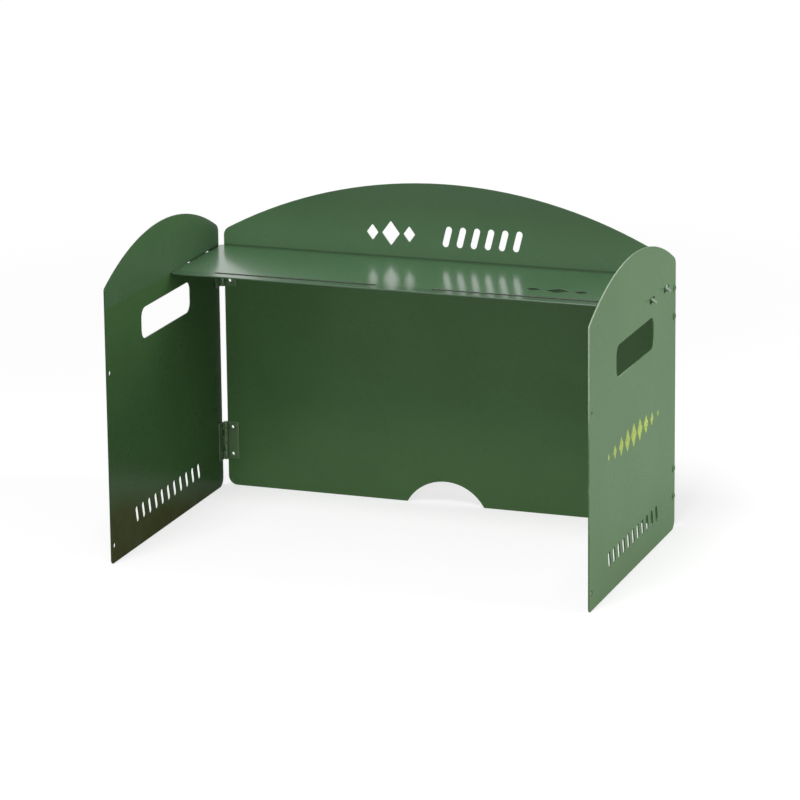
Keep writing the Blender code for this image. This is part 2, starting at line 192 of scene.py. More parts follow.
def lay_out(tree):
    """Sets the nodes in columns, each one to the left of all that it feeds."""
    column = {made.name: 0 for made in tree.nodes}
    for _ in tree.nodes:
        for link in tree.links:
            source, target = link.from_node.name, link.to_node.name
            column[source] = max(column[source], column[target] + 1)
    rows = {}
    for made in tree.nodes:
        place = column[made.name]
        rows[place] = rows.get(place, 0) + 1
        made.location = (-220 * place, -200 * rows[place])


def maths(tree, operation, *values):
    return node(tree, "ShaderNodeMath", enumerate(values), operation=operation).outputs[0]


def product(tree, first, *others):
    for other in others:
        first = maths(tree, "MULTIPLY", first, other)
    return first


def noise(tree, vector, scale, detail, rough=0.5):
    return node(tree, "ShaderNodeTexNoise", {"Vector": vector, "Scale": scale, "Detail": detail,
                                             "Roughness": rough}).outputs["Fac"]


def span(tree, value, low, high, to_low=0.0, to_high=1.0):
    """Smooth step from to_low to to_high while the value goes from low to high."""
    made = node(tree, "ShaderNodeMapRange", {"Value": value, "From Min": low, "From Max": high,
                                             "To Min": to_low, "To Max": to_high},
                interpolation_type="SMOOTHSTEP")
    return made.outputs["Result"]


def mix(tree, part, first, second):
    return node(tree, "ShaderNodeMix", {0: part, 6: first, 7: second}, data_type="RGBA").outputs[2]


def axes(tree, vector):
    split = node(tree, "ShaderNodeSeparateXYZ", {0: vector})
    return [split.outputs[axis] for axis in "XYZ"]


# Shared shader groups


def shader_group(name, inputs, outputs):
    """An empty shader node group. Each socket's example value tells its kind: None stands for a vector."""
    tree = bpy.data.node_groups.new(name, "ShaderNodeTree")
    for sockets, way in ((inputs, "INPUT"), (outputs, "OUTPUT")):
        for label, example in sockets.items():
            kind = "Vector" if example is None else "Color" if isinstance(example, tuple) else "Float"
            socket = tree.interface.new_socket(name=label, in_out=way, socket_type="NodeSocket" + kind)
            if way == "INPUT" and example is not None:
                socket.default_value = example
    return tree, node(tree, "NodeGroupInput").outputs, node(tree, "NodeGroupOutput").inputs


def coat_grain_group():
    """Orange peel of a baked powder coat, over the slow waves of the thin sheet, in metres of height."""
    tree, take, give = shader_group(
        "coat_grain", {"Vector": None, "Peel Size": 0.0018, "Peel Depth": 0.000003, "Wave Size": 0.11,
                       "Wave Depth": 0.00018}, {"Height": 0.0})
    heights = []
    for label, detail in (("Peel", 2.0), ("Wave", 1.0)):
        bumps = noise(tree, take["Vector"], maths(tree, "DIVIDE", 1.0, take[label + " Size"]), detail)
        heights.append(maths(tree, "MULTIPLY", bumps, take[label + " Depth"]))
    feed(tree, give["Height"], maths(tree, "ADD", *heights))


def coat_tone_group():
    """Slow drift and fine speckle in the coat's colour, with a painted reflection of a brown floor low
    inside, higher at the front.
    """
    tree, take, give = shader_group(
        "coat_tone", {"Vector": None, "Coat": GREY, "Drift": 0.10, "Dust": 0.10},
        {"Colour": GREY, "Dust Mask": 0.0})
    vector = take["Vector"]
    drift = span(tree, noise(tree, vector, 9.0, 3.0), 0.3, 0.7, -1, 1)
    speckle = span(tree, noise(tree, vector, 1400.0, 1.0), 0.25, 0.75, -0.25, 0.25)
    bright = maths(tree, "MULTIPLY_ADD", maths(tree, "ADD", drift, speckle), take["Drift"], 1.0)
    tinted = node(tree, "ShaderNodeVectorMath", {0: take["Coat"], "Scale": bright}, operation="SCALE")
    x, y, z = axes(tree, vector)
    lean = maths(tree, "MULTIPLY_ADD", y, 0.25, z)
    inside = maths(tree, "GREATER_THAN", x, LEFT_MIDDLE)
    cloud = span(tree, noise(tree, vector, 40.0, 4.0), 0.2, 0.7, 0.7, 1.0)
    # Painted reflection: brown where the inner faces would mirror the floor, with a rougher coat there
    brown_reflection = product(tree, span(tree, lean, 0.008, 0.052, 1.0, 0.0), inside, cloud, take["Dust"])
    feed(tree, give["Colour"], mix(tree, brown_reflection, tinted.outputs[0], FLOOR_REFLECTION_BROWN))
    feed(tree, give["Dust Mask"], brown_reflection)


def height_shading_group():
    """Coat above the shelf: a light bluish painted reflection close to it, and painted shade growing towards
    the top edge.
    """
    tree, take, give = shader_group(
        "height_tone", {"Vector": None, "Colour": GREY, "Level": 0.268, "Dust": 0.15, "Deep": 0.3},
        {"Colour": GREY})
    rise = maths(tree, "SUBTRACT", axes(tree, take["Vector"])[2], take["Level"])
    above = maths(tree, "GREATER_THAN", rise, 0.0)
    sheen = product(tree, span(tree, rise, 0.010, 0.060, 1.0, 0.35), above, take["Dust"])
    top_shade = product(tree, span(tree, rise, 0.015, 0.070), above, take["Deep"])
    feed(tree, give["Colour"], mix(tree, top_shade, mix(tree, sheen, take["Colour"], PAINTED_SHEEN), PAINTED_TOP_SHADE))


def rubbing_group():
    """Where the coat is rubbed: broken lines along the cut edges, and hair scratches on the faces. Coats with
    a light or dark edge colour lay painted highlight or painted shade through the edge lines.
    """
    tree, take, give = shader_group(
        "rubbing", {"Vector": None, "Edge": 0.0, "Edge Wear": 0.5, "Scratches": 0.3},
        {"Edge Mask": 0.0, "Scratch Mask": 0.0})
    vector = take["Vector"]
    patch = span(tree, noise(tree, vector, 55.0, 5.0, 0.65), 0.50, 0.66)
    feed(tree, give["Edge Mask"], product(tree, patch, take["Edge"], take["Edge Wear"]))
    lines = 0.0
    for turn in (0.5, -0.9, 1.35):
        turned = node(tree, "ShaderNodeMapping", {"Vector": vector, "Rotation": (turn, turn * 0.7, turn),
                                                  "Scale": (1.0, 26.0, 26.0)})
        hair = noise(tree, turned.outputs["Vector"], 24.0, 1.0)
        near = maths(tree, "ABSOLUTE", maths(tree, "SUBTRACT", hair, 0.5))
        lines = maths(tree, "MAXIMUM", lines, span(tree, near, 0.0, 0.006, 1.0, 0.0))
    area = span(tree, noise(tree, vector, 16.0, 2.0), 0.56, 0.68)
    feed(tree, give["Scratch Mask"], product(tree, lines, area, take["Scratches"]))


def shelf_end_shade_group():
    """Thin broken line just above the shelf on a side sheet's inner face, where the shelf's end meets it:
    painted shade, as the left coat mixes it to its dark edge colour.
    """
    tree, take, give = shader_group(
        "shelf_rub", {"Vector": None, "Level": 0.268, "Width": 0.002}, {"Mask": 0.0})
    x, y, z = axes(tree, take["Vector"])
    part = maths(tree, "DIVIDE", maths(tree, "SUBTRACT", z, take["Level"]), take["Width"])
    broken = span(tree, noise(tree, take["Vector"], 160.0, 3.0), 0.25, 0.6, 0.35, 1.0)
    feed(tree, give["Mask"], product(
        tree, span(tree, part, -0.1, 0.15), span(tree, part, 0.75, 1.1, 1.0, 0.0),
        span(tree, y, 0.050, 0.066), span(tree, y, 0.098, 0.120, 1.0, 0.0), broken,
        maths(tree, "GREATER_THAN", x, LEFT_MIDDLE)))


def corner_shade_group():
    """Painted shade in the corners where the shelf's top meets the back sheet and the left side sheet."""
    tree, take, give = shader_group(
        "corner_grime", {"Vector": None, "Level": 0.268, "Back": 0.1516, "Side": -0.2539}, {"Mask": 0.0})
    x, y, z = axes(tree, take["Vector"])
    tall, skin = 2 * MM, 0.8 * MM
    high = maths(tree, "DIVIDE", maths(tree, "SUBTRACT", z, take["Level"]), tall)
    lines = []
    for along, corner, wide, clean, dark in ((y, "Back", 13 * MM, 0.25, 0.40),
                                             (x, "Side", 4 * MM, 0.5, 0.75)):
        off = maths(tree, "SUBTRACT", along, take[corner])
        apart = node(tree, "ShaderNodeCombineXYZ", {0: maths(tree, "DIVIDE", off, wide), 1: high}).outputs[0]
        reach = node(tree, "ShaderNodeVectorMath", {0: apart}, operation="LENGTH").outputs["Value"]
        near = (maths(tree, "LESS_THAN", off, skin) if corner == "Back"
                else maths(tree, "GREATER_THAN", off, -skin))
        lines.append(product(tree, span(tree, reach, clean, 1.0, dark, 0.0), near))
    back, side = lines
    side = maths(tree, "MULTIPLY", side, span(tree, y, 0.114, 0.122))
    feed(tree, give["Mask"], maths(tree, "MAXIMUM", back, side))


def slot_shade_group():
    """Painted shade on the lips of the shelf's two long slots, and an even darkening of the rail before them.
    """
    tree, take, give = shader_group(
        "slot_grime", {"Vector": None, "Middle": 0.027, "Width": 0.005, "Start": 0.030, "End": 0.210,
                       "Rail": 0.34}, {"Mask": 0.0})
    x, y, _ = axes(tree, take["Vector"])
    off = maths(tree, "ABSOLUTE", maths(tree, "SUBTRACT", y, take["Middle"]))
    along = maths(tree, "ABSOLUTE", x)
    lips = product(tree, span(tree, maths(tree, "DIVIDE", off, take["Width"]), 0.6, 0.95, 0.75, 0.0),
                   maths(tree, "GREATER_THAN", along, take["Start"]),
                   maths(tree, "LESS_THAN", along, take["End"]))
    rail = maths(tree, "MULTIPLY", maths(tree, "LESS_THAN", y, take["Middle"]), take["Rail"])
    feed(tree, give["Mask"], maths(tree, "MAXIMUM", lips, rail))


GROUPS = (coat_grain_group, coat_tone_group, height_shading_group, rubbing_group, shelf_end_shade_group,
          corner_shade_group, slot_shade_group)


# Finishes


def group_node(tree, name, vector, **values):
    """Outputs of a shared group at the vector; an underscore stands for a space in an input's name."""
    made = node(tree, "ShaderNodeGroup", node_tree=bpy.data.node_groups[name])
    feed(tree, made.inputs["Vector"], vector)
    for label, value in values.items():
        feed(tree, made.inputs[label.replace("_", " ")], value)
    return made.outputs


def blank_finish(name):
    """Tree of a new material, its shader's inputs and the object's own coordinates."""
    made = bpy.data.materials.new(name)
    made.use_nodes = True
    tree = made.node_tree
    return tree, tree.nodes["Principled BSDF"].inputs, node(tree, "ShaderNodeTexCoord").outputs["Object"]


def complete(tree, shader, tint, rough, height, depth=1.0):
    """Gives the shader its colour, roughness and grain; depth is what one unit of grain is in metres."""
    bump = node(tree, "ShaderNodeBump", {"Distance": depth, "Height": height})
    feed(tree, shader["Base Color"], tint)
    feed(tree, shader["Roughness"], rough)
    feed(tree, shader["Normal"], bump.outputs["Normal"])
    lay_out(tree)


def front_edge_light_zone(tree, vector):
    """Mask of the upper front of a side sheet, where its cut edges get painted highlight."""
    _, y, z = axes(tree, vector)
    return product(tree, span(tree, z, 0.155, 0.230), span(tree, y, -0.060, 0.030, 1.0, 0.0))


def painted(name, coat, roughness, edge_tone, peel=0.0018, edge_patches=0.5, scratches=0.06, waves=0.0001, floor_reflection=0.08,
            drift=0.05, ior=1.3, gloss=0.0, rim=0.0, front_lit=False, shelf_end_shaded=False, shaded_corners=False,
            slotted=False, top_shade=None):
    """Powder coat: tone, grain, edge colour and hair scratches, on the shared groups, with painted shade,
    highlight and reflection where asked.
    """
    tree, shader, spot = blank_finish(name)
    shelf_front, shelf_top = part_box("shelf")[0].y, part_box("shelf")[1].z
    for label, value in (("IOR", ior), ("Coat Weight", gloss), ("Coat Roughness", 0.17)):
        shader[label].default_value = value
    edge, darkening = (node(tree, "ShaderNodeAttribute", attribute_name=label).outputs["Fac"]
                  for label in ("cut_edge", "slot_dirt"))
    tone = group_node(tree, "coat_tone", spot, Coat=coat, Drift=drift, Dust=floor_reflection)
    grain = group_node(tree, "coat_grain", spot, Peel_Size=peel, Wave_Depth=waves)
    rub = group_node(tree, "rubbing", spot, Edge=edge, Edge_Wear=edge_patches, Scratches=scratches)
    tint, edge_mix, scratch = tone["Colour"], rub["Edge Mask"], rub["Scratch Mask"]
    # Painted reflection just above the shelf, and painted shade higher up
    if top_shade is not None:
        tint = group_node(tree, "height_tone", spot, Colour=tint, Level=shelf_top, Deep=top_shade)["Colour"]
    # Painted highlight or painted shade all along the cut edges, by the coat's edge colour
    if rim:
        line = maths(tree, "MULTIPLY", edge, rim)
        if front_lit:
            line = maths(tree, "MULTIPLY", line, front_edge_light_zone(tree, spot))
        edge_mix = maths(tree, "MAXIMUM", edge_mix, line)
    # Painted shade line where the shelf's end meets the left sheet
    if shelf_end_shaded:
        edge_mix = maths(tree, "MAXIMUM", edge_mix, group_node(tree, "shelf_rub", spot, Level=shelf_top)["Mask"])
    # Painted shade along the shelf's corners
    if shaded_corners:
        corner_shadow = group_node(tree, "corner_grime", spot, Level=shelf_top, Back=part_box("back_panel")[0].y,
                           Side=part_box("left_panel")[1].x)
        darkening = maths(tree, "MAXIMUM", darkening, corner_shadow["Mask"])
    if slotted:
        lips = group_node(tree, "slot_grime", spot, Middle=shelf_front + RAIL + RAIL_SLOT / 2,
                          Width=RAIL_SLOT)
        darkening = maths(tree, "MAXIMUM", darkening, lips["Mask"])
    # Rougher under the painted floor reflection
    rough = maths(tree, "MULTIPLY_ADD", tone["Dust Mask"], 0.45, roughness)
    rough = maths(tree, "MULTIPLY_ADD", scratch, 0.35, rough)
    patches = span(tree, noise(tree, spot, 22.0, 4.0), 0.3, 0.7, -1, 1)
    rough = maths(tree, "MULTIPLY_ADD", patches, 0.012, rough)
    height = maths(tree, "MULTIPLY_ADD", scratch, -0.002 * MM, grain["Height"])
    # Painted shade and the rail's darkening go over the coat last
    complete(tree, shader, mix(tree, darkening, mix(tree, edge_mix, tint, edge_tone), PAINTED_SHADE), rough, height)


def inked(name, ink):
    """Screen-printed ink, a little uneven and thin in places."""
    tree, shader, spot = blank_finish(name)
    tone = group_node(tree, "coat_tone", spot, Coat=ink, Drift=0.12, Dust=0.0)
    grain = group_node(tree, "coat_grain", spot, Peel_Size=0.0011, Wave_Depth=0.00018)
    cover = span(tree, noise(tree, spot, 700.0, 3.0, 0.7), 0.42, 0.50)
    complete(tree, shader, mix(tree, cover, THIN_INK, tone["Colour"]),
             span(tree, cover, 0.0, 1.0, 0.40, 0.52), grain["Height"])


def drawn_steel(name):
    """Plain steel wire: drawn lines along the pin and a dull oxide bloom."""
    tree, shader, spot = blank_finish(name)
    shader["Metallic"].default_value = 1.0
    stretch = node(tree, "ShaderNodeMapping", {"Vector": spot, "Scale": (1.0, 1.0, 0.04)})
    lines = noise(tree, stretch.outputs["Vector"], 4000.0, 2.0)
    bloom = span(tree, noise(tree, spot, 400.0, 4.0), 0.4, 0.7)
    complete(tree, shader, mix(tree, bloom, DRAWN_STEEL, DULL_STEEL), span(tree, bloom, 0.0, 1.0, 0.28, 0.55),
             lines, 0.008 * MM)


# Meshes


def place_matrix(x_axis, y_axis, z_axis, location):
    turn = Matrix((x_axis, y_axis, z_axis)).transposed().to_4x4()
    return Matrix.Translation(location) @ turn


def new_object(name, data):
    made = bpy.data.objects.new(name, data)
    bpy.context.scene.collection.objects.link(made)
    return made


def add_piece(name, mesh, material, body, slot, *nodes):
    """Puts a finished mesh in the scene as a piece that rides on a body and stands for CAD nodes."""
    mesh.name = name
    made = new_object(name, mesh)
    mesh.materials.clear()
    mesh.materials.append(bpy.data.materials[material])
    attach(made, body)
    if nodes:
        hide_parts(*nodes)


def shell_of(mesh):
    shell = bmesh.new()
    shell.from_mesh(mesh)
    return shell


def settled(shell, mesh=None):
    """The mesh that the shell is written to, a new one if none is given; the shell goes."""
    mesh = mesh or bpy.data.meshes.new("form")
    shell.to_mesh(mesh)
    shell.free()
    return mesh


def evaluated_mesh(obj):
    """Plain mesh of an object as its modifiers leave it; the object goes."""
    depsgraph = bpy.context.evaluated_depsgraph_get()
    mesh = bpy.data.meshes.new_from_object(obj.evaluated_get(depsgraph))
    source = obj.data
    bpy.data.objects.remove(obj)
    if isinstance(source, bpy.types.Mesh):
        bpy.data.meshes.remove(source)
    else:
        bpy.data.curves.remove(source)
    return mesh


def face_values(mesh, name, value_of):
    """Stores a number on every face, for the finishes to read."""
    values = mesh.attributes.new(name, "FLOAT", "FACE")
    values.data.foreach_set("value", [value_of(face) for face in mesh.polygons])


def face_loops(cad_node, normal):
    """Outlines of the side of a sheet that looks along normal, its folded tabs included."""
    shell = shell_of(NODES[cad_node].data)
    bmesh.ops.remove_doubles(shell, verts=shell.verts, dist=1e-6)
    shell.faces.ensure_lookup_table()
    # A dictionary keeps the faces in order; a set would change it from run to run
    cap = dict.fromkeys(face for face in shell.faces if face.normal.dot(normal) > 0.7)
    follows = {}
    for face in cap:
        for loop in face.loops:
            if not any(other in cap for other in loop.edge.link_faces if other is not face):
                follows[loop.vert] = loop.link_loop_next.vert
    outlines = []
    while follows:
        start, here = follows.popitem()
        outline = [start.co.copy()]
        while here is not start:
            outline.append(here.co.copy())
            here = follows.pop(here)
        outlines.append(outline)
    shell.free()
    if not outlines:
        raise RuntimeError("no flat face on " + cad_node)
    return outlines


def sheet_thickness():
    low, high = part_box("back_panel")
    return high.y - low.y


def rounded_sheet(cad_node, across, up, settings):
    """The flat sheet again, cut from its own outlines, with rounded edges. across and up lie in its plane."""
    normal = across.cross(up)
    outlines = face_loops(cad_node, normal)
    thickness = sheet_thickness()
    low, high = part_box(cad_node)
    centre = (low + high) / 2
    face_level = max(point.dot(normal) for outline in outlines for point in outline)
    centre += normal * (face_level - thickness / 2 - centre.dot(normal))
    curve = bpy.data.curves.new("outline", "CURVE")
    curve.dimensions = "2D"
    curve.fill_mode = "BOTH"
    curve.bevel_depth = settings.edge_round
    curve.bevel_resolution = settings.edge_steps
    curve.offset = -settings.edge_round
    curve.extrude = thickness / 2 - settings.edge_round
    for outline in outlines:
        spline = curve.splines.new("POLY")
        spline.points.add(len(outline) - 1)
        for point, place in zip(spline.points, outline):
            point.co = ((place - centre).dot(across), (place - centre).dot(up), 0, 1)
        spline.use_cyclic_u = True
    mesh = evaluated_mesh(new_object("outline", curve))
    shell = shell_of(mesh)
    bmesh.ops.remove_doubles(shell, verts=shell.verts, dist=1e-7)
    bmesh.ops.recalc_face_normals(shell, faces=shell.faces)
    settled(shell, mesh)
    mesh.set_sharp_from_angle(angle=radians(38))
    mesh.polygons.foreach_set("use_smooth", [abs(face.normal.z) < 0.999 for face in mesh.polygons])
    face_values(mesh, "cut_edge", lambda face: 1.0 - abs(face.normal.z) ** 4)
    mesh.transform(place_matrix(across, up, normal, centre))
    return mesh


def fold_tabs(mesh, fold, tip, drop):
    """Bends down what lies beyond x = fold at both ends, by drop at the tips."""
    shell = shell_of(mesh)
    for side in (-1, 1):
        bmesh.ops.bisect_plane(shell, geom=shell.verts[:] + shell.edges[:] + shell.faces[:], dist=1e-6,
                               plane_co=(side * fold, 0, 0), plane_no=(1, 0, 0))
    for vert in shell.verts:
        vert.co.z -= drop * max(0.0, abs(vert.co.x) - fold) / (tip - fold)
    settled(shell, mesh)


def lathe(profile, steps):
    """Closed profile of (radius, height) turned about Z."""
    shell = bmesh.new()
    turns = [2 * pi * i / steps for i in range(steps)]
    rings = [[shell.verts.new((r * cos(turn), r * sin(turn), z)) for r, z in profile] for turn in turns]
    count = len(profile)
    for i in range(steps):
        here, there = rings[i], rings[(i + 1) % steps]
        for j in range(count):
            shell.faces.new((here[j], there[j], there[(j + 1) % count], here[(j + 1) % count]))
    bmesh.ops.remove_doubles(shell, verts=shell.verts, dist=1e-7)
    bmesh.ops.dissolve_degenerate(shell, edges=shell.edges, dist=1e-7)
    bmesh.ops.recalc_face_normals(shell, faces=shell.faces)
    mesh = settled(shell)
    mesh.shade_smooth()
    mesh.set_sharp_from_angle(angle=radians(50))
    return mesh


# Geometry node trees


def geometry_tree(name, **inputs):
    """An empty geometry node tree, its inputs' identifiers and its inputs, each with a kind."""
    tree = bpy.data.node_groups.new(name, "GeometryNodeTree")
    identifiers = {}
    for label, (kind, *default) in inputs.items():
        socket = tree.interface.new_socket(name=label, in_out="INPUT", socket_type="NodeSocket" + kind)
        if default:
            socket.default_value = default[0]
        identifiers[label] = socket.identifier
    tree.interface.new_socket(name="Copies", in_out="OUTPUT", socket_type="NodeSocketGeometry")
    return tree, identifiers, node(tree, "NodeGroupInput").outputs


def hand_out_copies(tree, take, points, **how):
    """Ends a tree: the form on every point, made real and given its finish."""
    form = node(tree, "GeometryNodeObjectInfo", {"Object": take["Form"]})
    spread = node(tree, "GeometryNodeInstanceOnPoints",
                  {"Points": points, "Instance": form.outputs["Geometry"], **how})
    real = node(tree, "GeometryNodeRealizeInstances", {"Geometry": spread.outputs["Instances"]})
    finish = node(tree, "GeometryNodeSetMaterial", {"Geometry": real.outputs["Geometry"],
                                                    "Material": take["Finish"]})
    node(tree, "NodeGroupOutput", {0: finish.outputs["Geometry"]})
    lay_out(tree)


def copies_tree():
    """Puts one form on every point, its Z along the point's own direction, with a chance turn about it."""
    tree, identifiers, take = geometry_tree(
        "copies_on_points", Points=("Geometry",), Form=("Object",), Turn=("Float", 2 * pi), Seed=("Int", 1),
        Finish=("Material",))
    direction = node(tree, "GeometryNodeInputNamedAttribute", {"Name": "outward"}, data_type="FLOAT_VECTOR")
    aim = node(tree, "FunctionNodeAlignRotationToVector", {"Vector": direction.outputs["Attribute"]},
               axis="Z")
    chance = node(tree, "FunctionNodeRandomValue", {2: 0.0, 3: take["Turn"], "Seed": take["Seed"]},
                  data_type="FLOAT")
    spin = node(tree, "FunctionNodeAxisAngleToRotation", {"Axis": (0, 0, 1), "Angle": chance.outputs[1]})
    both = node(tree, "FunctionNodeRotateRotation",
                {"Rotation": aim.outputs["Rotation"], "Rotate By": spin.outputs["Rotation"]},
                rotation_space="LOCAL")
    hand_out_copies(tree, take, take["Points"], Rotation=both.outputs["Rotation"])
    return tree, identifiers


def row_tree():
    """Row of one flat form along X that grows from one end to the middle, then shrinks again."""
    tree, identifiers, take = geometry_tree(
        "printed_row", Start=("Geometry",), Form=("Object",), Count=("Int", 9), Pitch=("Float", 0.02),
        Least=("Float", 0.25), Finish=("Material",))
    step = node(tree, "ShaderNodeCombineXYZ", {"X": take["Pitch"]})
    line = node(tree, "GeometryNodeMeshLine", {"Count": take["Count"], "Offset": step.outputs[0]})
    index = node(tree, "GeometryNodeInputIndex").outputs[0]
    part = maths(tree, "DIVIDE", index, maths(tree, "SUBTRACT", take["Count"], 1.0))
    crest = maths(tree, "SINE", maths(tree, "MULTIPLY", part, pi))
    size = maths(tree, "MULTIPLY_ADD", crest, maths(tree, "SUBTRACT", 1.0, take["Least"]), take["Least"])
    hand_out_copies(tree, take, line.outputs["Mesh"], Scale=size)
    return tree, identifiers


def grown(tree, identifiers, base, **values):
    """Mesh that a node tree makes on a base mesh, with its inputs set."""
    carrier = new_object(tree.name, base)
    modifier = carrier.modifiers.new(tree.name, "NODES")
    modifier.node_group = tree
    for label, value in values.items():
        modifier[identifiers[label]] = value
    return evaluated_mesh(carrier)


def hidden_object(name, mesh):
    """Object that a tree or a modifier uses, and that goes again afterwards."""
    made = new_object(name, mesh)
    made.hide_render = True
    return made


def drop(obj):
    mesh = obj.data
    bpy.data.objects.remove(obj)
    bpy.data.meshes.remove(mesh)


def points_mesh(places, directions):
    mesh = bpy.data.meshes.new("points")
    mesh.from_pydata([tuple(place) for place in places], [], [])
    outward = mesh.attributes.new("outward", "FLOAT_VECTOR", "POINT")
    outward.data.foreach_set("vector", [part for direction in directions for part in direction])
    return mesh


# Parts of the hinges


def hinge_names():
    return [side + "_" + level for side in ("left", "right") for level in ("lower", "upper")]


def outwards(hinge):
    return -X if hinge.startswith("left") else X


def side_body(hinge):
    return LEFT if hinge.startswith("left") else RIGHT


def leaf_sheet(settings, reach, bore, sheet, height, kept):
    """Middle surface of a rolled leaf, without the knuckles that aren't kept."""
    middle = bore + sheet / 2
    notch = ((bore + sheet + CLEARANCE) ** 2 - bore ** 2) ** 0.5
    path = [(reach, middle), (reach * 0.75, middle), (reach * 0.5, middle), (notch, middle)]
    roll_start = len(path) - 1
    turns = [pi / 2 + settings.roll * i / settings.roll_steps for i in range(settings.roll_steps + 1)]
    path += [(middle * cos(turn), middle * sin(turn)) for turn in turns]
    cuts = [-height / 2]
    for i in range(1, settings.knuckles):
        edge = -height / 2 + i * height / settings.knuckles
        cuts.append(edge - CLEARANCE / 2 if i - 1 in kept else edge + CLEARANCE / 2)
    cuts.append(height / 2)
    shell = bmesh.new()
    columns = [[shell.verts.new((x, y, z)) for x, y in path] for z in cuts]
    for i in range(settings.knuckles):
        for j in range(len(path) - 1):
            if j < roll_start or i in kept:
                shell.faces.new((columns[i][j], columns[i][j + 1], columns[i + 1][j + 1], columns[i + 1][j]))
    bmesh.ops.delete(shell, geom=[vert for vert in shell.verts if not vert.link_faces], context="VERTS")
    corners = [vert for vert in shell.verts
               if abs(vert.co.x - reach) < 1e-7 and abs(abs(vert.co.z) - height / 2) < 1e-7]
    bmesh.ops.bevel(shell, geom=corners, offset=settings.corner_round, segments=5, affect="VERTICES",
                    profile=0.5)
    return settled(shell)


def leaf_form(settings, reach, bore, sheet, height, rivets, kept):
    """One rolled leaf about the pin axis: x along the plate, up to reach, and y towards the panel."""
    drill = bmesh.new()
    for x, z in rivets:
        place = Matrix.Translation((x, bore + sheet / 2, z)) @ Matrix.Rotation(pi / 2, 4, "X")
        bmesh.ops.create_cone(drill, cap_ends=True, segments=32, radius1=RIVET_HOLE, radius2=RIVET_HOLE,
                              depth=20 * MM, matrix=place)
    cutter = hidden_object("drill", settled(drill))
    blank = hidden_object("leaf", leaf_sheet(settings, reach, bore, sheet, height, kept))
    wall = blank.modifiers.new("wall", "SOLIDIFY")
    wall.thickness = sheet
    wall.offset = 0.0
    wall.use_even_offset = True
    holes = blank.modifiers.new("holes", "BOOLEAN")
    holes.object = cutter
    rounding = blank.modifiers.new("edges", "BEVEL")
    rounding.width = settings.edge_round
    rounding.segments = 2
    rounding.limit_method = "ANGLE"
    rounding.angle_limit = radians(50)
    made = evaluated_mesh(blank)
    drop(cutter)
    shell = shell_of(made)
    bmesh.ops.recalc_face_normals(shell, faces=shell.faces)
    settled(shell, made)
    made.shade_smooth()
    made.set_sharp_from_angle(angle=radians(32))
    narrow = (settings.edge_round * 6) ** 2
    face_values(made, "cut_edge", lambda face: float(face.area < narrow or abs(face.normal.z) > 0.5))
    return made


def rivet_profile():
    """Half section of a tubular rivet: (radius, height), its middle at zero, head below and clinch above."""
    head = [(1.80, -1.55), (1.83, -1.85), (1.95, -2.04), (2.16, -2.14), (2.45, -2.15), (3.00, -2.10),
            (3.45, -2.00), (3.78, -1.85), (3.95, -1.68), (4.00, -1.52), (3.93, -1.38), (3.70, -1.36),
            (2.40, -1.36)]
    clinch = [(2.40, 1.36), (3.62, 1.36), (3.86, 1.42), (3.96, 1.60), (3.88, 1.86), (3.60, 2.06),
              (3.15, 2.15), (2.70, 2.10), (2.30, 1.92), (2.02, 1.66), (1.86, 1.30), (1.80, 0.90)]
    return [(r * MM, z * MM) for r, z in head + clinch]


def pin_profile(low, high, radius):
    """Half section of a pin with slightly domed, peened ends."""
    half = (high - low) / 2
    dome = [(radius * share_of_radius, half - fall * MM) for share_of_radius, fall in
            ((0.0, 0.0), (0.45, 0.02), (0.78, 0.10), (0.95, 0.26), (1.0, 0.48))]
    return dome + [(r, -z) for r, z in reversed(dome)]


# Operators


class WINDSCREEN_OT_finishes(bpy.types.Operator):
    """Makes the shared shader groups and the coats, ink and steel"""
    bl_idname = "windscreen.finishes"
    bl_label = "Finishes"

    def execute(self, context):
        for make in GROUPS:
            make()
        for group in bpy.data.node_groups:
            lay_out(group)
        paint = context.scene.windscreen_paint
        waves = context.scene.windscreen_sheets.waviness
        # Back sheet: painted shade in the shelf's corners, painted reflection above the shelf and painted
        # shade towards the top
        painted("sheet_coat", paint.sheet, paint.roughness, paint.edge_tone, waves=waves, shaded_corners=True, top_shade=0.33)
        # Left sheet: painted shade all along its cut edges, a strong painted floor reflection low inside, and
        # painted reflection above the shelf
        painted("left_coat", paint.sheet, paint.roughness, paint.dull, waves=waves, floor_reflection=0.75, ior=1.2,
                rim=0.8, shelf_end_shaded=True, shaded_corners=True, top_shade=0.0)
        # Right sheet: painted highlight on its cut edges, strongest on the upper front
        painted("right_coat", paint.sheet, paint.roughness, paint.edge, waves=waves, edge_patches=0.2, rim=0.8,
                front_lit=True)
        # Shelf: painted shade in its rear corners, on its slots' lips and walls and on its front edge, and a
        # darker rail
        painted("shelf_coat", paint.shelf, 0.42, paint.edge_tone, waves=waves, edge_patches=0.1, scratches=0.2, floor_reflection=0.0,
                ior=1.4, gloss=1.0, shaded_corners=True, slotted=True)
        # Hinge leaves: painted highlight along their edges
        painted("hinge_coat", paint.hinge, 0.34, paint.edge, peel=0.0012, edge_patches=0.7, waves=0.0, floor_reflection=0.0,
                drift=0.16, ior=1.5, rim=0.25)
        painted("rivet_coat", paint.hinge, 0.32, paint.edge_tone, peel=0.0009, edge_patches=0.0, waves=0.0, floor_reflection=0.0,
                drift=0.2)
        inked("print_ink", context.scene.windscreen_print.colour)
        drawn_steel("pin_wire")
        return {"FINISHED"}


class WINDSCREEN_OT_back_sheet(bpy.types.Operator):
    """Back sheet with its bowed top, hose notch and vents"""
    bl_idname = "windscreen.back_sheet"
    bl_label = "Back sheet"

    def execute(self, context):
        mesh = rounded_sheet("back_panel", X, Z, context.scene.windscreen_sheets)
        add_piece("back_sheet", mesh, "sheet_coat", SCREEN, "sheet_paint", "back_panel")
        return {"FINISHED"}


